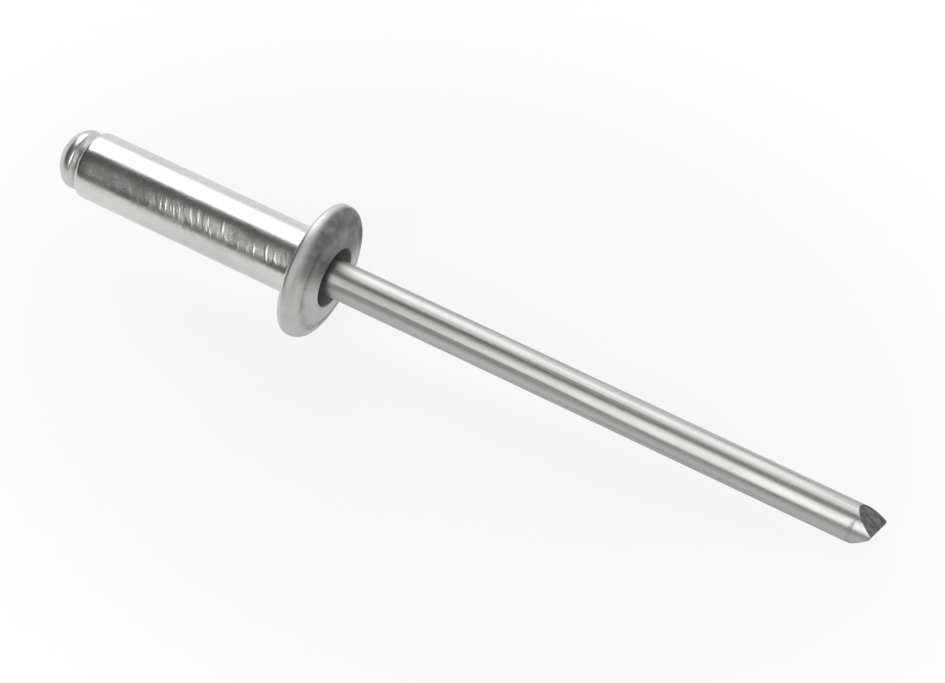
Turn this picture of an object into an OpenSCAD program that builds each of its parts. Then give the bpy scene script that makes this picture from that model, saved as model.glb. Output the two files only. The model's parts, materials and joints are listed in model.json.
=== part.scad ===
// Open-end blind rivet, 3.2 mm by a nominal 12 mm, with its pulling mandrel in place.
// The rivet lies on a flat surface: the edge of its flange and the point of its mandrel touch it.
// Origin: on the rivet's axis, in the plane of the flange's seating face.
// +X runs towards the mandrel's point, +Z is up. Each piece is drawn along Z and then laid down.

/* [Shank] */
// Outside diameter of the hollow shank
shank_d = 3.2; // [2.6:0.1:4.8]
// Length of the shank under the flange
shank_len = 11.9; // [6:0.1:25]
// Rounding of the shank's blind end
shank_end_r = 0.35; // [0.1:0.05:0.5]
// Fillet between the shank and the flange
root_r = 0.25; // [0.1:0.05:0.4]

/* [Flange] */
// Diameter of the domed flange
flange_d = 6.35; // [5.2:0.05:9.5]
// Thickness of the flange at its edge
edge_t = 0.75; // [0.4:0.05:0.9]
// Rise of the dome from the edge to the middle
dome_rise = 0.5; // [0.3:0.05:0.8]
// Rounding of the edge on the dome side
edge_top_r = 0.55; // [0.1:0.05:0.6]
// Rounding of the edge on the seating side
edge_seat_r = 0.26; // [0.05:0.01:0.3]
// Depth of the crease between the rim and the dome
crease_depth = 0.05; // [0.01:0.01:0.08]
// Radius of the crease's round bottom
crease_bottom_r = 0.3; // [0.1:0.05:0.4]
// Distance of the crease inside the flange's edge
crease_inset = 0.7; // [0.6:0.05:0.8]

/* [Mouth of the bore] */
// Diameter of the bore's coned mouth on the dome
mouth_d = 3; // [2.4:0.05:3.2]
// Included angle of the coned mouth
mouth_angle = 60; // [50:5:80]
// Rounding of the mouth's lip
mouth_r = 0.12; // [0.05:0.01:0.15]

/* [Forming rings on the seating face] */
// Number of shallow ring grooves
ring_count = 3; // [0:1:4]
// Depth of each groove
ring_depth = 0.03; // [0.01:0.01:0.04]
// Radius of each groove's round bottom
ring_bottom_r = 0.1; // [0.06:0.01:0.12]

/* [Mandrel] */
// Diameter of the mandrel's stem
stem_d = 1.75; // [1.4:0.05:2.1]
// Gap between the stem and the wall of the bore
bore_gap = 0.1; // [0.05:0.01:0.15]
// Reach of the stem from the seating face to the middle of its cutting edge
stem_len = 27.4; // [20:0.1:40]
// How far the head's side stands inside the shank's
head_inset = 0.17; // [0.1:0.01:0.2]
// Height of the head beyond the shank's blind end
head_h = 1.36; // [1.3:0.02:2]
// Rise of the head's domed face
crown_rise = 0.78; // [0.4:0.02:0.8]
// Height of the coned underside between the shank's blind end and the head's side
head_cone_h = 0.3; // [0.2:0.01:0.4]
// Rounding between the head's side and its domed face
head_top_r = 0.5; // [0.2:0.05:0.6]
// Rounding between the head's side and its coned underside
head_under_r = 0.18; // [0.05:0.01:0.2]

/* [Break notch] */
// Width left across the neck
neck_w = 1.2; // [0.9:0.05:1.3]
// Distance of the neck inside the shank's blind end
neck_inset = 1.6; // [1.5:0.1:3]
// Included angle of each pinched notch
notch_angle = 80; // [60:5:90]

/* [Pinch-cut point] */
// Angle of the upper facet to the axis
upper_facet = 33; // [25:1:60]
// Angle of the lower facet to the axis
lower_facet = 44; // [25:1:60]
// Slant of the cutting edge across the wire
edge_slant = 6; // [0:1:20]
// Turn of the upper facet about the axis, from straight up
facet_turn = 31; // [0:1:60]
// Distance of the cutting edge from the axis, towards the upper facet
edge_offset = 0.13; // [0:0.01:0.3]

/* [Hidden] */
$fn = 96;

// Shank and bore: what is round on the wall is kept smaller than the wall
shank_r = shank_d / 2;
stem_r = stem_d / 2;
bore_r = stem_r + bore_gap;
wall = shank_r - bore_r;
blind_z = -shank_len;
head_r = shank_r - head_inset;
seat_h = max(head_r - head_cone_h - bore_r, 0.2 * wall);
cone_h = head_r - bore_r - seat_h;
end_r = min(shank_end_r, 0.6 * wall, 0.9 * (head_inset + cone_h));

// Flange: the dome is part of a sphere centred on the axis
flange_r = flange_d / 2;
top_r = min(edge_top_r, 0.75 * edge_t);
seat_r = min(edge_seat_r, 0.35 * edge_t);
dome_r = (pow(flange_r, 2) + pow(dome_rise, 2)) / (2 * dome_rise);
dome_z = edge_t + dome_rise - dome_r;

// Centres of the roundings, as [radius, height], and the angles at which they meet the dome
edge_top = [flange_r - top_r, dome_z + sqrt(pow(dome_r - top_r, 2) - pow(flange_r - top_r, 2))];
edge_top_angle = atan2(edge_top[1] - dome_z, edge_top[0]);
mouth_x = max(mouth_d / 2, bore_r + 2 * mouth_r);
mouth = [mouth_x, dome_z + sqrt(pow(dome_r - mouth_r, 2) - pow(mouth_x, 2))];
mouth_dome_angle = atan2(mouth[1] - dome_z, mouth[0]);

// The mouth's cone starts on its lip's rounding and ends on the bore
cone_dir = [sin(mouth_angle / 2), cos(mouth_angle / 2)];
cone_top = mouth + mouth_r * [-cone_dir[1], cone_dir[0]];
cone_foot = [bore_r, cone_top[1] - (cone_top[0] - bore_r) * cone_dir[1] / cone_dir[0]];

// The crease's circle is centred on the line square to the dome
crease_x = flange_r - crease_inset;
crease = [crease_x, dome_z + sqrt(pow(dome_r + crease_bottom_r - crease_depth, 2) - pow(crease_x, 2))];

// The ring grooves share out the flat of the seating face
flat_in = shank_r + root_r;
flat_out = flange_r - seat_r;
ring_pitch = (flat_out - flat_in) / (ring_count + 0.5);

// Head: its underside and the seat in the shank are the same 45 degree cone, on which
// radius and height add up to seat_sum
seat_sum = bore_r + blind_z + seat_h;
crown_r = (pow(head_r, 2) + pow(crown_rise, 2)) / (2 * crown_rise);
crown_z = blind_z - head_h + crown_r;

// The two roundings of the head share its side, which meets the domed face at crown_turn
side_h = head_h - cone_h - crown_rise;
crown_turn = 90 - asin(head_r / crown_r);
over_r = min(head_top_r, 0.6 * side_h / tan(crown_turn / 2));
under_r = min(head_under_r, 0.35 * side_h / tan(22.5));
head_top = [head_r - over_r,
            crown_z - sqrt(pow(crown_r - over_r, 2) - pow(head_r - over_r, 2))];
head_top_angle = atan2(head_top[1] - crown_z, head_top[0]);
head_under = [head_r - under_r, seat_sum - head_r + (1 - sqrt(2)) * under_r];

// Break notch
neck_z = blind_z + neck_inset;
notch_depth = stem_r;

// Lying down, the rivet touches the surface with the rounding of its flange's edge and with
// the last point of the stem's underside, which the lower facet leaves at touch_z
touch_z = stem_len - (edge_offset + stem_r * cos(facet_turn)) / (tan(lower_facet) * cos(edge_slant))
          + stem_r * sin(facet_turn) * tan(edge_slant);
touch_run = touch_z - edge_top[1];
touch_drop = edge_top[0] - stem_r;
tilt = atan2(touch_drop, touch_run) + asin(top_r / norm([touch_run, touch_drop]));

// Outline between two radii and two heights
module band(r_in, r_out, z_low, z_high) {
    translate([r_in, z_low]) square([r_out - r_in, z_high - z_low]);
}

// What a rounding takes off a corner: all that lies past its circle between two angles
module corner(centre, r, from, to) {
    middle = (from + to) / 2;
    translate(centre)
        difference() {
            polygon([[0, 0],
                     3 * r * [cos(from), sin(from)],
                     6 * r * [cos(middle), sin(middle)],
                     3 * r * [cos(to), sin(to)]]);
            circle(r);
        }
}

module shank_outline() {
    difference() {
        band(bore_r, shank_r, blind_z, edge_t / 2);
        corner([shank_r - end_r, blind_z + end_r], end_r, -90, 0);
        polygon([[0, seat_sum], [0, blind_z - 1], [seat_sum - blind_z + 1, blind_z - 1]]);
    }
}

module root_outline() {
    difference() {
        band(bore_r + wall / 2, flat_in, -root_r, edge_t / 2);
        translate([flat_in, -root_r]) circle(root_r);
    }
}

module flange_outline() {
    difference() {
        intersection() {
            band(bore_r, flange_r, 0, edge_t + dome_rise);
            translate([0, dome_z]) circle(dome_r, $fn = 720);
        }
        corner(edge_top, top_r, 0, edge_top_angle);
        corner([flange_r - seat_r, seat_r], seat_r, -90, 0);
        corner(mouth, mouth_r, mouth_dome_angle, 180 - mouth_angle / 2);
        polygon([[0, cone_foot[1]], cone_foot, cone_top, cone_top + 4 * mouth_r * cone_dir,
                 [0, edge_t + dome_rise + 4 * mouth_r]]);
        translate(crease) circle(crease_bottom_r);
        for (ring = [1:1:ring_count])
            translate([flat_out - ring * ring_pitch, ring_depth - ring_bottom_r])
                circle(ring_bottom_r);
    }
}

module head_outline() {
    difference() {
        intersection() {
            translate([0, crown_z]) circle(crown_r, $fn = 360);
            polygon([[0, seat_sum],
                     [0, blind_z - head_h - 1],
                     [head_r, blind_z - head_h - 1],
                     [head_r, seat_sum - head_r]]);
        }
        corner(head_top, over_r, head_top_angle, 0);
        corner(head_under, under_r, 0, 45);
    }
}

// Four pinched notches leave a square neck, where the mandrel breaks when it is pulled
module break_notches() {
    half_mouth = notch_depth * tan(notch_angle / 2);
    for (turn = [0:90:270])
        rotate([0, 0, turn])
            translate([0, stem_d, neck_z])
                rotate([90, 0, 0])
                    linear_extrude(height = 2 * stem_d)
                        polygon([[neck_w / 2, 0],
                                 [neck_w / 2 + notch_depth, -half_mouth],
                                 [neck_w / 2 + notch_depth, half_mouth]]);
}

// Everything past a facet that leans in from +X to the cutting edge at the origin
module past_facet(angle) {
    reach = 4 * stem_d;
    rotate([0, -angle, 0])
        translate([0, -reach / 2, -reach / 2]) cube(reach);
}

// A pair of jaws has pinched the wire through, which leaves two facets and a slanting edge
module pinch_cut() {
    translate([0, 0, stem_len])
        rotate([0, 0, 180 - facet_turn])
            translate([edge_offset, 0, 0])
                rotate([-edge_slant, 0, 0]) {
                    past_facet(upper_facet);
                    rotate([0, 0, 180]) past_facet(lower_facet);
                }
}

module laid_down() {
    rotate([0, 90 + tilt, 0]) children();
}

module rivet_body() {
    color("gainsboro")
        laid_down()
            rotate_extrude() {
                shank_outline();
                root_outline();
                flange_outline();
            }
}

module mandrel() {
    color("darkgray")
        laid_down() {
            rotate_extrude() head_outline();
            difference() {
                translate([0, 0, blind_z]) cylinder(h = stem_len + stem_d - blind_z, r = stem_r);
                break_notches();
                pinch_cut();
            }
        }
}

rivet_body();
mandrel();
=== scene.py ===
import json
import math

import bmesh
import bpy
from mathutils import Matrix, Quaternion, Vector


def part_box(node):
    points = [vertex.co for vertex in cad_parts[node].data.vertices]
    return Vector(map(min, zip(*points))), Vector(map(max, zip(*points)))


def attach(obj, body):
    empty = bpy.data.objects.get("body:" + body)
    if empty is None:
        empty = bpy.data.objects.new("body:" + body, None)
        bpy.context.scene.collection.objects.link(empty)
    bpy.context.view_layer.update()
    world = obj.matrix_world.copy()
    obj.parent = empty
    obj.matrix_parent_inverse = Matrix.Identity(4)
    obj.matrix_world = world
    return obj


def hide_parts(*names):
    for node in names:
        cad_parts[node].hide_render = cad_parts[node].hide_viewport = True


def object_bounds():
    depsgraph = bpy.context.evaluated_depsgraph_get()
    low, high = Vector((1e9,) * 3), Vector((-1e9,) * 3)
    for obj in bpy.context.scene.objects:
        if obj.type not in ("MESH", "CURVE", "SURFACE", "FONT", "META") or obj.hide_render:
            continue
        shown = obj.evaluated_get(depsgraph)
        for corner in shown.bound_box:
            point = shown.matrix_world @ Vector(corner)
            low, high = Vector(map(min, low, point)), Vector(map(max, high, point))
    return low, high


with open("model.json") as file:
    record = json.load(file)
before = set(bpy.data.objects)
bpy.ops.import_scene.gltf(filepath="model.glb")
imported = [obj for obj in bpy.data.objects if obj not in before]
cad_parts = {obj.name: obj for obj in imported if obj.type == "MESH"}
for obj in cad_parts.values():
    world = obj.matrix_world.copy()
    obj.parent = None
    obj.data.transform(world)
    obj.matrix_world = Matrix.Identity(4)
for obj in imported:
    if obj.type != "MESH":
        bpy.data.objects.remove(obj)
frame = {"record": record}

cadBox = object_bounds()
mm = 0.001
weld = 1e-5  # mm, points closer than this become one

# Both pieces are drawn upright in mm, along Z with the point up, and then laid down.
# Upright, +X is the rivet's underside and +Y its back.
mounts = {mount["name"]: mount for mount in frame["record"]["mounts"]}
towardHead = Vector(mounts["flange_seat"]["axis"])
dip = math.atan2(towardHead.z, -towardHead.x)  # the axis dips this much towards the point
layDown = Matrix.Scale(mm, 4) @ Matrix.Rotation(math.pi / 2 + dip, 4, "Y")


def widestRadius(node):
    low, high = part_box(node)
    return (high.y - low.y) / 2 / mm


flangeRadius = widestRadius("rivet_body")
headRadius = widestRadius("mandrel")
shankRadius = mounts["shank"]["dims"]["r_mm"]
print("frame loaded: flange radius %.3f, head radius %.3f, shank radius %.3f mm, dip %.2f degrees"
      % (flangeRadius, headRadius, shankRadius, math.degrees(dip)))


class Outline:
    # half of a turned shape's section: x is the radius and z the height along the axis
    def __init__(self, x, z):
        self.bm = bmesh.new()
        self.tip = self.bm.verts.new((x, 0, z))

    def line(self, x, z, pieces=1):
        start, end = self.tip.co.copy(), Vector((x, 0, z))
        for step in range(pieces):
            made = bmesh.ops.extrude_vert_indiv(self.bm, verts=[self.tip])
            self.tip = made["verts"][0]
            place = start.lerp(end, (step + 1) / pieces)
            bmesh.ops.translate(self.bm, verts=[self.tip], vec=place - self.tip.co)

    def arc(self, centre, degrees, pieces):
        # turns the end about a centre, counterclockwise where x is to the right and z is up
        made = bmesh.ops.spin(self.bm, geom=[self.tip], cent=(centre[0], 0, centre[1]), axis=(0, 1, 0),
                              angle=-math.radians(degrees), steps=pieces)
        self.tip = [v for v in made["geom_last"] if isinstance(v, bmesh.types.BMVert)][0]

    def soften(self, inner, outer, low, high, times):
        # rounds off the corners of the part of the section between two radii and two heights
        near = [v for v in self.bm.verts if inner < v.co.x < outer and low < v.co.z < high]
        for _ in range(times):
            bmesh.ops.smooth_vert(self.bm, verts=near, factor=0.5, use_axis_x=True, use_axis_z=True)

    def turn(self, steps):
        # spins the section once round the axis into a closed shape
        bmesh.ops.remove_doubles(self.bm, verts=self.bm.verts[:], dist=weld)
        bmesh.ops.spin(self.bm, geom=self.bm.verts[:] + self.bm.edges[:], cent=(0, 0, 0), axis=(0, 0, 1),
                       angle=2 * math.pi, steps=steps, use_merge=True)
        bmesh.ops.remove_doubles(self.bm, verts=self.bm.verts[:], dist=weld)
        bmesh.ops.recalc_face_normals(self.bm, faces=self.bm.faces[:])
        return self.bm


def cutAcross(bm, place, normal, openEnd=False):
    # cuts all faces along a plane, and with openEnd takes away what lies past it
    return bmesh.ops.bisect_plane(bm, geom=bm.verts[:] + bm.edges[:] + bm.faces[:], dist=weld,
                                  plane_co=place, plane_no=normal, clear_outer=openEnd)


def finishPiece(bm, name, node, material):
    bmesh.ops.transform(bm, matrix=layDown, verts=bm.verts[:])
    mesh = bpy.data.meshes.new(name)
    for face in bm.faces:
        face.smooth = True
    bm.to_mesh(mesh)
    bm.free()
    mesh.materials.append(material)
    piece = bpy.data.objects.new(name, mesh)
    bpy.context.scene.collection.objects.link(piece)
    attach(piece, "root")
    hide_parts(node)
    return piece


def evenNormals(piece):
    weighted = piece.modifiers.new("evenNormals", "WEIGHTED_NORMAL")
    weighted.keep_sharp = True


class Wire:
    # an output socket that can be added, multiplied and so on
    def __init__(self, bench, socket):
        self.bench = bench
        self.socket = socket

    def math(self, operation, first, second=0.0):
        return self.bench.add("Math", {"operation": operation}, {0: first, 1: second})

    def __add__(self, other):
        return self.math("ADD", self, other)

    def __radd__(self, other):
        return self.math("ADD", other, self)

    def __sub__(self, other):
        return self.math("SUBTRACT", self, other)

    def __rsub__(self, other):
        return self.math("SUBTRACT", other, self)

    def __mul__(self, other):
        return self.math("MULTIPLY", self, other)

    def __rmul__(self, other):
        return self.math("MULTIPLY", other, self)

    def __pow__(self, other):
        return self.math("POWER", self, other)

    def __rpow__(self, other):
        return self.math("POWER", other, self)

    def __abs__(self):
        return self.math("ABSOLUTE", self)


class Bench:
    # builds the nodes of one material or of the world
    def __init__(self, tree):
        self.tree = tree
        tree.nodes.clear()

    def add(self, kind, settings=None, values=None, output=0):
        node = self.tree.nodes.new("ShaderNode" + kind)
        for name, setting in (settings or {}).items():
            setattr(node, name, setting)
        for name, value in (values or {}).items():
            if isinstance(value, Wire):
                self.tree.links.new(value.socket, node.inputs[name])
            else:
                node.inputs[name].default_value = value
        return Wire(self, node.outputs[output]) if node.outputs else None

    def apart(self, place):
        # the three coordinates of a place
        first = self.add("SeparateXYZ", values={"Vector": place})
        return [Wire(self, socket) for socket in first.socket.node.outputs]

    def fade(self, value, low, high, bottom=0.0, top=1.0):
        # smooth step of a value from low to high
        values = {"Value": value, "From Min": low, "From Max": high, "To Min": bottom, "To Max": top}
        return self.add("MapRange", {"interpolation_type": "SMOOTHSTEP"}, values)

    def between(self, amount, first, second):
        # number between two numbers
        return first + amount * (second - first)

    def tint(self, amount, first, second):
        # colour between two colours: a colour Mix has them in its inputs 6 and 7
        first, second = (c if isinstance(c, Wire) else (*c, 1) for c in (first, second))
        return self.add("Mix", {"data_type": "RGBA"}, {0: amount, 6: first, 7: second}, output=2)

    def grain(self, place, scale, detail=2.0, rough=0.5, shift=(0, 0, 0), low=None, high=None):
        # noise with its own scale along each axis, per mm: from about 0 to 1, or a smooth step of it
        stretched = self.add("Mapping", values={"Vector": place, "Location": shift, "Scale": scale})
        noise = self.add("TexNoise", values={"Vector": stretched, "Scale": 1.0, "Detail": detail,
                                             "Roughness": rough})
        return noise if low is None else self.fade(noise, low, high)

    def rings(self, radius, height, across, along):
        # fine rings round the axis, with their own scale across and along it, per mm
        place = self.add("CombineXYZ", values={"X": radius * across, "Y": height * along, "Z": 0.0})
        return self.add("TexNoise", values={"Vector": place, "Scale": 1.0, "Detail": 2.0, "Roughness": 0.6})

    def uprightPlace(self):
        # the surface's place in mm with the rivet standing up along Z, as it was drawn
        place = self.add("TexCoord", output="Object")
        return self.add("Mapping", values={"Vector": place, "Rotation": (0, -math.pi / 2 - dip, 0),
                                           "Scale": (1 / mm, 1 / mm, 1 / mm)})

    def metal(self, colour, roughness, height):
        bump = self.add("Bump", values={"Strength": 1.0, "Distance": mm, "Height": height})
        surface = self.add("BsdfPrincipled", values={"Base Color": colour, "Metallic": 1.0,
                                                     "Roughness": roughness, "Normal": bump})
        self.add("OutputMaterial", values={"Surface": surface})


def newMaterial(name):
    material = bpy.data.materials.new(name)
    material.use_nodes = True
    return material, Bench(material.node_tree)


# Shank and flange: formed aluminium, bright on the drawn shank and satin on the flange's dome side.
formedAluminium = {
    "bright": (0.86, 0.86, 0.835),
    "dull": (0.76, 0.76, 0.74),
    "smudge": (0.60, 0.60, 0.585),
    "rim": (0.76, 0.76, 0.75),           # dome side of the flange, outside its crease
    "satin": (0.67, 0.67, 0.66),         # and inside it
    "tarnish": (0.19, 0.19, 0.188),      # painted dark reflection on its upper back
    "crevice": (0.16, 0.16, 0.155),      # painted shade in the bore's mouth and in the crease, and the colour of the dark specks
    "roughness": 0.20,
    "satinRoughness": 0.43,
    "rimRoughness": 0.56,
    "mouthRoughness": 0.07,              # added in the bore's mouth
    "hazeRoughness": 0.12,               # where the shank is scuffed
    "cloudRoughness": 0.05,
    "speckRoughness": 0.1,
    "tarnishRoughness": 0.06,
    "cloudTint": 0.7,                    # how much each mark shows in the colour
    "hazeTint": 0.15,
    "speckTint": 0.5,
    "satinSpeckTint": 0.3,
    "grimeTint": 0.5,
    "blotTint": 0.12,                    # outside the painted dark reflection
    "tarnishTint": 0.74,                 # the least in the painted dark reflection, between its blots
    "scuffDepth": 0.0060,                # mm, as all depths are
    "rippleDepth": 0.0024,
    "fineRippleDepth": 0.00072,
    "ringMarkDepth": 0.0014,             # turning marks on the flange
    "dentDepth": 0.009,                  # on the flange's dome side
    "shankDentDepth": 0.003,

    # grains, with their scale per mm
    "patches": {"scale": (1.1, 1.1, 0.8), "detail": 4.0, "rough": 0.65, "low": 0.30, "high": 0.72},
    "ticks": {"scale": (0.8, 0.8, 3.3), "detail": 1.5, "shift": (3.1, 0, 0), "low": 0.46, "high": 0.62},
    "ripple": {"scale": (0.9, 0.9, 3.0), "detail": 3.0, "shift": (0, 7.7, 0)},
    "fineRipple": {"scale": (2.0, 2.0, 30.0), "shift": (0, 0, 5.0)},
    "dents": {"scale": (1.9, 1.9, 1.9), "detail": 3.0, "rough": 0.55, "shift": (9, 2, 4)},
    "cloud": {"scale": (0.5, 0.5, 0.35), "detail": 4.0, "rough": 0.6, "shift": (1, 2, 3),
              "low": 0.35, "high": 0.7},
    "specks": {"scale": (9, 9, 9), "shift": (4, 4, 4), "low": 0.66, "high": 0.78},
    "blots": {"scale": (1.3, 1.3, 1.3), "detail": 4.0, "rough": 0.65, "shift": (6, 3, 8),
              "low": 0.36, "high": 0.70},
    "rings": {"across": 12.0, "along": 3.0},

    # where each finish begins and is full, in mm, and its strength at both where that isn't 0 and 1
    "domeSide": (0.02, 0.42),            # height above the seating face
    "flangeSide": (-0.1, 0.02),
    "mouthDepth": (0.02, 0.12),          # in from the lip
    "rimEdge": (-0.1, 0.15),             # out from the crease
    "creaseGrime": (0.32, 0.0),          # away from the crease
    "scuffSlant": 0.5,                   # how much the scuffs lean round the shank
    "scuffedSide": (-0.69, -0.72),       # direction of the front that is scuffed most, upright
    "scuffedFront": (1.38, 1.56, 0.25, 1.0),
    "scuffedStart": (-11.5, -5.5, 0.8, 1.0),
    "scuffedEnd": (-0.3, -1.3),
    "tickStart": (-10.0, -8.0, 0.15, 1.0),
    "tarnishSide": (-0.82, 0.57),        # direction of the upper back that carries the painted dark reflection
    "tarnishFrom": (0.1, 1.3),
    "tarnishSlant": 0.12,                # the painted dark reflection comes down the edge at the back
    "tarnishHeight": (0.72, 1.02, 0.12, 1.0),

    # the same for marks that follow a grain
    "dentGrime": (0.30, 0.60, 0.25, 1.0),
    "tickPatches": (0.0, 0.7, 0.3, 1.0),
}


def makeAluminium():
    look = formedAluminium
    crease = flangeRadius - bodyShape["creaseInset"]
    material, bench = newMaterial("formedAluminium")
    place = bench.uprightPlace()
    x, y, z = bench.apart(place)
    radius = (x * x + y * y) ** 0.5
    domeSide = bench.fade(z, *look["domeSide"])
    onFlange = bench.fade(z, *look["flangeSide"])
    onRim = bench.fade(radius - crease, *look["rimEdge"])
    inMouth = bench.fade(bodyShape["mouthRadius"] - radius, *look["mouthDepth"]) * onFlange

    # short slanting scuffs run round the shank and lie closer towards the flange
    leaning = bench.add("CombineXYZ", values={"X": x, "Y": y, "Z": z + y * look["scuffSlant"]})
    toFront = x * look["scuffedSide"][0] + y * look["scuffedSide"][1]
    alongShank = bench.fade(z, *look["scuffedStart"]) * bench.fade(z, *look["scuffedEnd"])
    scuffed = alongShank * bench.fade(toFront, *look["scuffedFront"])
    patches = bench.grain(place, **look["patches"])
    haze = patches * scuffed
    ticks = bench.grain(leaning, **look["ticks"]) * bench.fade(z, *look["tickStart"])
    scuffs = ticks * bench.fade(patches, *look["tickPatches"]) * scuffed
    ripple = bench.grain(leaning, **look["ripple"])
    fineRipple = bench.grain(place, **look["fineRipple"])

    # the flange carries turning marks and small dents from the forming tool
    rings = bench.rings(radius, z, **look["rings"])
    dents = bench.grain(place, **look["dents"])
    height = (scuffs * look["scuffDepth"] + ripple * look["rippleDepth"]
              + fineRipple * look["fineRippleDepth"] + rings * onFlange * look["ringMarkDepth"]
              + dents * bench.between(domeSide, look["shankDentDepth"], look["dentDepth"]))

    # the dome side gets a painted dark reflection at its upper back, and painted shade in its crease
    blots = bench.grain(place, **look["blots"])
    toBack = x * look["tarnishSide"][0] + y * look["tarnishSide"][1]
    tarnish = (bench.fade(toBack, *look["tarnishFrom"])
               * bench.fade(z + toBack * look["tarnishSlant"], *look["tarnishHeight"]) * domeSide)
    # painted dark reflection on the upper back, with random blots elsewhere
    blotsAndPaintedReflection = (tarnish * bench.between(blots, look["tarnishTint"], 1.0)
              + (1.0 - tarnish) * blots * look["blotTint"])
    # painted shade along the crease, broken up by the dents
    paintedCreaseShade = (bench.fade(abs(radius - crease), *look["creaseGrime"])
             * bench.fade(dents, *look["dentGrime"]) * domeSide)

    cloud = bench.grain(place, **look["cloud"])
    specks = bench.grain(place, **look["specks"])
    drawn = bench.tint(cloud * look["cloudTint"], look["bright"], look["dull"])
    drawn = bench.tint(specks * look["speckTint"] + haze * look["hazeTint"], drawn, look["smudge"])
    satin = bench.tint(onRim, look["satin"], look["rim"])
    satin = bench.tint(blotsAndPaintedReflection, satin, look["tarnish"])
    satin = bench.tint(paintedCreaseShade * look["grimeTint"] + specks * look["satinSpeckTint"], satin, look["crevice"])
    colour = bench.tint(domeSide, drawn, satin)
    # painted shade in the bore's mouth
    colour = bench.tint(inMouth, colour, look["crevice"])
    satinRoughness = (bench.between(onRim, look["satinRoughness"], look["rimRoughness"])
                      + blotsAndPaintedReflection * look["tarnishRoughness"])
    roughness = (look["roughness"] + domeSide * (satinRoughness - look["roughness"])
                 + inMouth * look["mouthRoughness"] + cloud * look["cloudRoughness"]
                 + haze * look["hazeRoughness"] + specks * look["speckRoughness"])
    bench.metal(colour, roughness, height)
    return material


bodyShape = {
    "boreRadius": 0.975,
    "blindEnd": -11.9,
    "seatHeight": 0.155,      # coned seat of the mandrel's head
    "endRounding": 0.35,
    "rootFillet": 0.25,
    "edgeHeight": 0.75,       # flange thickness at its edge
    "domeRise": 0.5,
    "edgeRounding": 0.55,
    "seatRounding": 0.26,
    "mouthRadius": 1.5,       # coned mouth of the bore
    "mouthAngle": 60,
    "mouthRounding": 0.12,
    "creaseInset": 0.7,       # crease between the rim and the dome
    "creaseDepth": 0.05,
    "creaseBottom": 0.3,
    "creaseSoftened": (1.9, 0.42),  # from this radius to this far inside the edge
    "ringCount": 3,           # shallow grooves on the seating face
    "ringDepth": 0.03,
    "ringBottom": 0.1,
    "ringSoftened": 0.02,     # the rings are softened up to this far from the face's ends
    "turnSteps": 224,
    "softEdge": 0.02,
    "softAngle": 25,          # edges sharper than this are softened
}


def cornerAngle(first, second, opposite):
    # angle in degrees between two sides of a triangle
    return math.degrees(math.acos((first ** 2 + second ** 2 - opposite ** 2) / (2 * first * second)))


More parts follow.
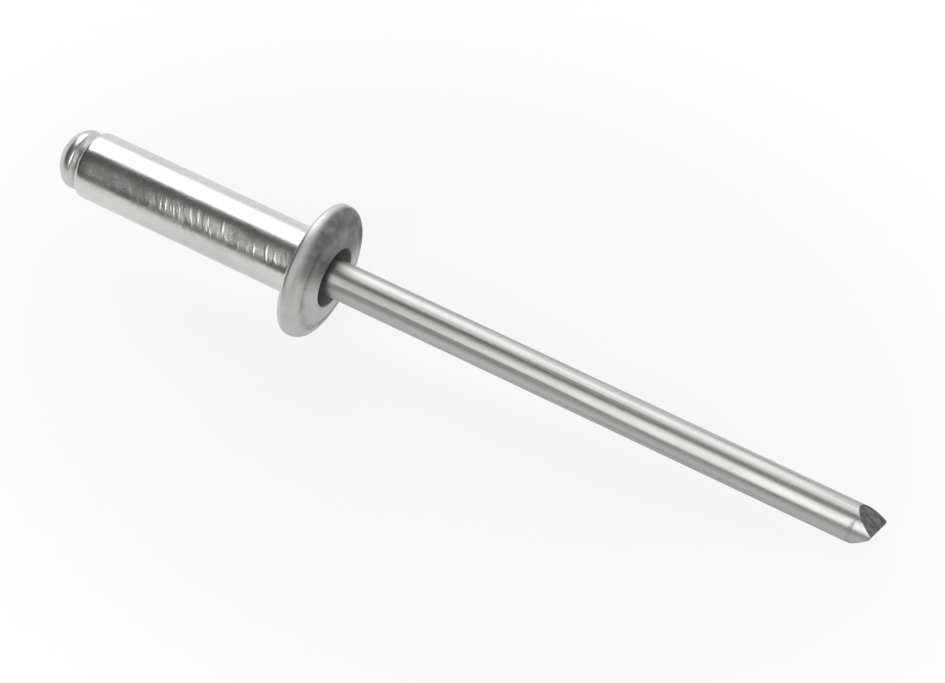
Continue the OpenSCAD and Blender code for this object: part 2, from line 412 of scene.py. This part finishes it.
def makeBody(material):
    shape = bodyShape
    bore, blind, edge = shape["boreRadius"], shape["blindEnd"], shape["edgeHeight"]
    topR, lipR, seatR = shape["edgeRounding"], shape["mouthRounding"], shape["seatRounding"]
    endR, rootR = shape["endRounding"], shape["rootFillet"]
    creaseR, ringR = shape["creaseBottom"], shape["ringBottom"]
    domeRadius = (flangeRadius ** 2 + shape["domeRise"] ** 2) / (2 * shape["domeRise"])
    domeCentre = edge + shape["domeRise"] - domeRadius

    def nearDome(x, distance):
        # centre of a circle at this distance from the dome's own centre, and its direction from there
        z = domeCentre + math.sqrt(distance ** 2 - x ** 2)
        return (x, z), math.degrees(math.atan2(z - domeCentre, x))

    edgeCentre, edgeAngle = nearDome(flangeRadius - topR, domeRadius - topR)
    lipCentre, lipAngle = nearDome(shape["mouthRadius"], domeRadius - lipR)
    creaseAway = domeRadius + creaseR - shape["creaseDepth"]
    creaseCentre, creaseAngle = nearDome(flangeRadius - shape["creaseInset"], creaseAway)
    creaseSpan = cornerAngle(domeRadius, creaseAway, creaseR)
    creaseTurn = cornerAngle(creaseAway, creaseR, domeRadius)
    halfCone = math.radians(shape["mouthAngle"] / 2)
    coneTop = (lipCentre[0] - lipR * math.cos(halfCone), lipCentre[1] + lipR * math.sin(halfCone))
    coneFoot = coneTop[1] - (coneTop[0] - bore) / math.tan(halfCone)

    # bore, seat and shank
    section = Outline(bore, coneFoot)
    section.line(bore, blind + shape["seatHeight"], pieces=12)
    section.line(bore + shape["seatHeight"], blind)
    section.line(shankRadius - endR, blind)
    section.arc((shankRadius - endR, blind + endR), 90, pieces=12)
    section.line(shankRadius, -rootR, pieces=24)

    # seating face with its ring grooves
    flatIn, flatOut = shankRadius + rootR, flangeRadius - seatR
    section.arc((flatIn, -rootR), -90, pieces=10)
    pitch = (flatOut - flatIn) / (shape["ringCount"] + 0.5)
    ringSink = ringR - shape["ringDepth"]
    halfChord = math.sqrt(ringR ** 2 - ringSink ** 2)
    for ring in range(shape["ringCount"], 0, -1):
        ringAt = flatOut - ring * pitch
        section.line(ringAt - halfChord, 0, pieces=4)
        section.arc((ringAt, -ringSink), -2 * math.degrees(math.atan2(halfChord, ringSink)), pieces=8)
    section.line(flatOut, 0, pieces=3)
    margin = shape["ringSoftened"]
    section.soften(flatIn + margin, flatOut - margin, low=-margin, high=margin + shape["ringDepth"], times=2)

    # edge, dome with its crease, and mouth
    section.arc((flatOut, seatR), 90, pieces=12)
    section.line(flangeRadius, edgeCentre[1], pieces=2)
    section.arc(edgeCentre, edgeAngle, pieces=22)
    section.arc((0, domeCentre), creaseAngle - creaseSpan - edgeAngle, pieces=5)
    section.arc(creaseCentre, -2 * creaseTurn, pieces=10)
    section.arc((0, domeCentre), lipAngle - creaseAngle - creaseSpan, pieces=16)
    softIn, softOut = shape["creaseSoftened"]
    section.soften(softIn, flangeRadius - softOut, low=edge, high=edge + shape["domeRise"], times=10)
    section.arc(lipCentre, 180 - shape["mouthAngle"] / 2 - lipAngle, pieces=8)
    section.line(bore, coneFoot, pieces=6)
    piece = finishPiece(section.turn(shape["turnSteps"]), "rivetBody", "rivet_body", material)
    bevel = piece.modifiers.new("softEdges", "BEVEL")
    bevel.width = shape["softEdge"] * mm
    bevel.segments = 3
    bevel.limit_method = "ANGLE"
    bevel.angle_limit = math.radians(shape["softAngle"])
    evenNormals(piece)
    return piece


body = makeBody(makeAluminium())
print("rivet body made: %d faces" % len(body.data.polygons))

# Mandrel: satin drawn steel wire, darker and rougher where it was pinched off.
drawnSteel = {
    "satin": (0.63, 0.63, 0.615),
    "streak": (0.50, 0.50, 0.49),
    "upset": (0.76, 0.76, 0.745),     # the head, lighter than the wire
    # colour of the die lines, and of the painted shade in the jaw's line
    "dieLine": (0.22, 0.22, 0.215),
    "sheared": (0.25, 0.25, 0.247),
    "tornEdge": (0.13, 0.13, 0.128),
    "roughness": 0.34,
    "headRoughness": 0.27,
    "shearedRoughness": 0.46,
    "blotchRoughness": 0.05,
    "lineRoughness": 0.05,
    "dieLineTint": 0.6,               # how much each mark shows in the colour
    "speckTint": 0.35,
    "jawLineTint": 0.22,
    "lineDepth": 0.0015,              # mm, as all depths are
    "streakDepth": 0.004,
    "blotchDepth": 0.001,
    "shearDepth": 0.02,

    # grains, with their scale per mm
    "streaks": {"scale": (3.0, 3.0, 0.04), "detail": 3.0, "rough": 0.6},
    "fineLines": {"scale": (14.0, 14.0, 0.12), "rough": 0.6, "shift": (5, 0, 0)},
    "dieLines": {"scale": (7.0, 7.0, 0.05), "shift": (0, 8, 0), "low": 0.58, "high": 0.70},
    "blotches": {"scale": (0.8, 0.8, 0.3), "detail": 4.0, "rough": 0.6, "shift": (2, 6, 1),
                 "low": 0.35, "high": 0.7},
    "specks": {"scale": (8, 8, 5), "shift": (7, 1, 4), "low": 0.68, "high": 0.8},
    "shearMarks": {"scale": (2.0, 6.0, 2.0), "detail": 4.0, "rough": 0.65},
    "rings": {"across": 10.0, "along": 6.0},

    "headEdge": (0.0, 0.2),           # mm below the shank's blind end
    "streakShades": (0.35, 0.68),     # of the streaks' grain, from satin to streak
    "tornShades": (0.35, 0.65),       # of the shear marks' grain, from sheared to tornEdge
}


def makeSteel():
    look, shape = drawnSteel, mandrelShape
    material, bench = newMaterial("drawnSteel")
    place = bench.uprightPlace()
    x, y, z = bench.apart(place)
    radius = (x * x + y * y) ** 0.5

    # the drawing die leaves lines along the wire
    streaks = bench.grain(place, **look["streaks"])
    fineLines = bench.grain(place, **look["fineLines"])
    dieLines = bench.grain(place, **look["dieLines"])
    blotches = bench.grain(place, **look["blotches"])
    specks = bench.grain(place, **look["specks"])

    # the head was upset from the wire, which leaves rings instead of lines
    onHead = bench.fade(shape["headStart"] - z, *look["headEdge"])
    rings = bench.rings(radius, z, **look["rings"])

    # painted shade in the line that the lower jaw left
    besideLine = abs(z - shape["squeezeHeight"])
    paintedJawLineShade = (bench.fade(besideLine, shape["squeezeWidth"], 0.0)
               * bench.fade(x * shape["squeezeLean"] - y, 0.0, shape["squeezeFade"]))

    sheared = bench.add("Attribute", {"attribute_name": "sheared"}, output="Fac")
    shearMarks = bench.grain(place, **look["shearMarks"])
    wire = (1.0 - onHead) * (1.0 - sheared)
    height = ((fineLines * wire + rings * onHead) * look["lineDepth"] + streaks * wire * look["streakDepth"]
              + shearMarks * sheared * look["shearDepth"] + blotches * look["blotchDepth"])

    colour = bench.tint(bench.fade(streaks, *look["streakShades"]), look["satin"], look["streak"])
    colour = bench.tint(onHead, colour, look["upset"])
    marks = dieLines * wire * look["dieLineTint"] + specks * look["speckTint"]
    colour = bench.tint(marks, colour, look["dieLine"])
    colour = bench.tint(paintedJawLineShade * look["jawLineTint"], colour, look["dieLine"])
    torn = bench.tint(bench.fade(shearMarks, *look["tornShades"]), look["sheared"], look["tornEdge"])
    colour = bench.tint(sheared, colour, torn)
    roughness = (look["roughness"] + blotches * look["blotchRoughness"] + fineLines * look["lineRoughness"]
                 + sheared * (look["shearedRoughness"] - look["roughness"])
                 + onHead * (look["headRoughness"] - look["roughness"]))
    bench.metal(colour, roughness, height)
    return material


mandrelShape = {
    "stemRadius": 0.875,
    "headStart": -11.9,       # the shank's blind end
    "headHeight": 1.355,
    "crownRise": 0.78,
    "topRounding": 0.5,
    "underRounding": 0.18,
    "neckHeight": -10.3,
    "neckWidth": 1.2,
    "notchAngle": 80,
    "length": 27.4,
    "pointStart": 1.925,      # the point's cuts begin less than this far below the stem's end
    "spare": 1.75,            # wire past the end, which the cuts take off
    "facets": (33, 41.5),     # angles of the upper and the lower facet to the axis
    "edgeSlant": 6,
    "facetTurn": 31,
    "edgeOffset": 0.13,       # the cutting edge lies this far above the axis
    "edgeOut": 0.07,          # and would stand this far out if it were sharp
    "edgeRadius": 0.16,       # rounding of the cutting edge
    "squeezeHeight": 26.36,   # faint line where the jaws began to squeeze the wire
    "squeezeWidth": 0.15,
    "squeezeDepth": 0.014,
    "squeezeLean": 0.2,       # the lower jaw touched the front, leaning this much to the underside
    "squeezeFade": 0.35,      # the line fades in over this much of that side
    "squeezeSteps": 12,
    "turnSteps": 144,
}


def turnMandrel():
    # head, neck and stem as one turned shape, with four notches that leave a square neck
    shape = mandrelShape
    stem, blind = shape["stemRadius"], shape["headStart"]
    topR, underR, rise = shape["topRounding"], shape["underRounding"], shape["crownRise"]
    coneSum = bodyShape["boreRadius"] + blind + bodyShape["seatHeight"]  # radius + height on the coned seat
    crown = (headRadius ** 2 + rise ** 2) / (2 * rise)
    crownCentre = blind - shape["headHeight"] + crown
    topX = headRadius - topR
    topZ = crownCentre - math.sqrt((crown - topR) ** 2 - topX ** 2)
    topAngle = math.degrees(math.atan2(topZ - crownCentre, topX))
    underZ = coneSum - headRadius + (1 - math.sqrt(2)) * underR
    slope = math.tan(math.radians(shape["notchAngle"] / 2))
    notchMouth = (stem - shape["neckWidth"] / 2) * slope

    section = Outline(0, crownCentre - crown)
    section.arc((0, crownCentre), 90 + topAngle, pieces=20)
    section.arc((topX, topZ), -topAngle, pieces=12)
    section.line(headRadius, underZ)
    section.arc((headRadius - underR, underZ), 45, pieces=6)
    section.line(stem, coneSum - stem, pieces=3)
    section.line(stem, shape["neckHeight"] - notchMouth, pieces=2)
    section.line(stem, shape["neckHeight"] + notchMouth, pieces=12)
    section.line(stem, shape["length"] - shape["pointStart"], pieces=40)
    section.line(stem, shape["length"] + shape["spare"])
    section.line(0, shape["length"] + shape["spare"])
    bm = section.turn(shape["turnSteps"])
    for vert in bm.verts:
        fromNeck = abs(vert.co.z - shape["neckHeight"])
        if fromNeck < notchMouth and vert.co.xy.length > stem / 2:
            half = shape["neckWidth"] / 2 + fromNeck / slope
            vert.co.x = max(-half, min(half, vert.co.x))
            vert.co.y = max(-half, min(half, vert.co.y))
    return bm


def pinchOff(bm):
    # Two jaws pinched the wire through. Each of their cuts is filled as one facet, and three
    # narrow ones between the two round off the cutting edge.
    shape = mandrelShape
    shearLayer = bm.faces.layers.float.new("sheared")
    jaws = (Matrix.Rotation(math.radians(180 - shape["facetTurn"]), 4, "Z")
            @ Matrix.Rotation(math.radians(-shape["edgeSlant"]), 4, "X"))

    def facing(degrees):
        return Vector((math.cos(math.radians(degrees)), 0, math.sin(math.radians(degrees))))

    upper, lower = shape["facets"][0], 180 - shape["facets"][1]
    middle = (upper + lower) / 2
    halfWedge = math.radians(180 - lower + upper) / 2
    sharpEdge = Vector((shape["edgeOffset"], 0, shape["edgeOut"]))
    roundCentre = sharpEdge - facing(middle) * (shape["edgeRadius"] / math.sin(halfWedge))
    for degrees in (upper, lower, (upper + middle) / 2, middle, (middle + lower) / 2):
        touching = jaws @ (roundCentre + facing(degrees) * shape["edgeRadius"])
        touching.z += shape["length"]
        cut = cutAcross(bm, touching, jaws @ facing(degrees), openEnd=True)
        rim = [e for e in cut["geom_cut"] if isinstance(e, bmesh.types.BMEdge)]
        for face in bmesh.ops.holes_fill(bm, edges=rim, sides=0)["faces"]:
            face[shearLayer] = 1.0
    bmesh.ops.recalc_face_normals(bm, faces=bm.faces[:])
    for edge in bm.edges:
        torn = [face[shearLayer] > 0.5 for face in edge.link_faces]
        edge.smooth = all(torn) or not any(torn)
    print("pinch cut: %d facets" % len([f for f in bm.faces if f[shearLayer] > 0.5]))


def markSqueeze(bm):
    # the lower jaw left a faint line across the wire's lower side
    shape = mandrelShape
    width, steps = shape["squeezeWidth"], shape["squeezeSteps"]
    for step in range(steps + 1):
        cutAcross(bm, (0, 0, shape["squeezeHeight"] + width * (2 * step / steps - 1)), (0, 0, 1))
    for vert in bm.verts:
        away = abs(vert.co.z - shape["squeezeHeight"]) / width
        side = vert.co.x * shape["squeezeLean"] - vert.co.y
        if away < 1 and side > 0:
            inward = shape["squeezeDepth"] * (1 - away) ** 2 * min(1, side / shape["squeezeFade"])
            vert.co.xy *= 1 - inward / shape["stemRadius"]


def makeMandrel(material):
    bm = turnMandrel()
    pinchOff(bm)
    markSqueeze(bm)
    piece = finishPiece(bm, "mandrelPin", "mandrel", material)
    evenNormals(piece)
    return piece


mandrel = makeMandrel(makeSteel())
print("mandrel made: %d faces" % len(mandrel.data.polygons))

# Table, lights and camera.
studio = {
    "floorSize": 3.0,         # m, from the middle to each side
    "floorColour": (0.88, 0.88, 0.88),
    "middle": 0.007,          # m, the rivet's middle on the floor
    "depthSquash": 2.0,       # the plain white begins nearer in front and behind than at the sides
    "whiteFrom": (0.010, 0.036),  # m from the middle, where the floor fades to plain white
    "cameraLift": 0.85,       # how much of the floor beside the rivet shows as plain white
    "mirrorLift": 0.40,       # the same in what the metal mirrors
    "boxWatts": 4.0,          # W from each square metre of a softbox, at a glow of 1
    "backBox": {"azimuth": -158, "elevation": 46, "away": 1.0, "width": 1.03, "height": 0.87,
                "turn": 0, "glow": 1.42},
    "frontBox": {"azimuth": 2, "elevation": 50, "away": 1.0, "width": 0.42, "height": 0.95,
                 "turn": 13, "glow": 2.1},
    "dark": 0.060,            # upper part of the room
    "pale": 0.70,             # band low down all round
    "bandHeight": 0.11,       # as all of the room's places, on a ball of radius 1 round the rivet
    "bandRise": 0.34,         # how much higher the band is at the back
    "back": (-0.2, 0.6),      # from where to where the back begins, along Y
    "backGlow": 0.35,         # added to the band at the back, below the back box
    "backGlowHeight": (0.10, 0.45),
    "right": (0.35, 0.9),     # the same for the right, along X
    "rightGlow": 0.40,        # added to the dark part on the right
}


def towards(azimuth, elevation):
    # direction from the rivet: azimuth 0 is the front, -Y, and 90 is +X
    a, e = math.radians(azimuth), math.radians(elevation)
    return Vector((math.sin(a) * math.cos(e), -math.cos(a) * math.cos(e), math.sin(e)))


def makeFloor():
    bm = bmesh.new()
    bmesh.ops.create_grid(bm, x_segments=8, y_segments=8, size=studio["floorSize"])
    bmesh.ops.translate(bm, verts=bm.verts[:], vec=(0, 0, cadBox[0].z))
    mesh = bpy.data.meshes.new("floor")
    bm.to_mesh(mesh)
    bm.free()
    material, bench = newMaterial("palePaper")
    isCamera, isGlossy, isThrough = (bench.add("LightPath", output=name)
                                     for name in ("Is Camera Ray", "Is Glossy Ray", "Is Transmission Ray"))
    x, y, _ = bench.apart(bench.add("TexCoord", output="Object"))
    away = ((x - studio["middle"]) ** 2 + y * y * studio["depthSquash"]) ** 0.5
    shown = bench.fade(away, *studio["whiteFrom"], studio["cameraLift"], 1.0)
    lift = isCamera * shown + (isGlossy + isThrough) * studio["mirrorLift"]
    paper = bench.add("BsdfDiffuse", values={"Color": (*studio["floorColour"], 1)})
    white = bench.add("Emission", values={"Color": (1, 1, 1, 1), "Strength": 1.0})
    surface = bench.add("MixShader", values={0: lift, 1: paper, 2: white})
    bench.add("OutputMaterial", values={"Surface": surface})
    mesh.materials.append(material)
    floor = bpy.data.objects.new("floor", mesh)
    bpy.context.scene.collection.objects.link(floor)


def turnTo(thing, direction, degrees):
    # its back faces this direction, and it is then turned clockwise about its own axis
    thing.rotation_mode = "QUATERNION"
    thing.rotation_quaternion = (direction.to_track_quat("Z", "Y")
                                 @ Quaternion((0, 0, 1), -math.radians(degrees)))


def makeSoftbox(name):
    box = studio[name]
    light = bpy.data.lights.new(name, "AREA")
    light.shape = "RECTANGLE"
    light.size, light.size_y = box["width"], box["height"]
    light.energy = studio["boxWatts"] * box["width"] * box["height"] * box["glow"]
    lamp = bpy.data.objects.new(name, light)
    direction = towards(box["azimuth"], box["elevation"])
    lamp.location = direction * box["away"]
    turnTo(lamp, direction, box["turn"])
    lamp.visible_camera = False
    bpy.context.scene.collection.objects.link(lamp)


def makeRoom():
    # a dark room with a pale band low down all round, higher and brighter at the back
    world = bpy.data.worlds.new("room")
    world.use_nodes = True
    bpy.context.scene.world = world
    bench = Bench(world.node_tree)
    x, y, z = bench.apart(bench.add("TexCoord", output="Generated"))
    toBack = bench.fade(y, *studio["back"])
    band = 1.0 - bench.fade(z - toBack * studio["bandRise"], 0.0, studio["bandHeight"])
    pale = studio["pale"] + bench.fade(z, *studio["backGlowHeight"]) * toBack * studio["backGlow"]
    dark = studio["dark"] + bench.fade(x, *studio["right"]) * studio["rightGlow"]
    level = dark + band * (pale - dark)
    isCamera = bench.add("LightPath", output="Is Camera Ray")
    shown = level + isCamera * (1.0 - level)
    room = bench.add("Background", values={"Color": (1, 1, 1, 1), "Strength": shown})
    bench.add("OutputWorld", values={"Surface": room})


makeFloor()
makeSoftbox("backBox")
makeSoftbox("frontBox")
makeRoom()

viewpoint = {
    "aim": (8.12, 0.0, -0.61),  # mm
    "away": 107.46,           # mm
    "azimuth": 38.54,
    "elevation": 55.72,
    "roll": 10.6,             # the camera's top leans to its right
    "lens": 94.29,
    "clip": (0.005, 20),      # m
}
camera = bpy.data.objects.new("camera", bpy.data.cameras.new("camera"))
bpy.context.scene.collection.objects.link(camera)
outward = towards(viewpoint["azimuth"], viewpoint["elevation"])
camera.location = (Vector(viewpoint["aim"]) + outward * viewpoint["away"]) * mm
turnTo(camera, outward, viewpoint["roll"])
camera.data.lens = viewpoint["lens"]
camera.data.clip_start, camera.data.clip_end = viewpoint["clip"]
bpy.context.scene.camera = camera
bpy.context.scene.view_settings.view_transform = "Standard"
print("floor, lights and camera made")
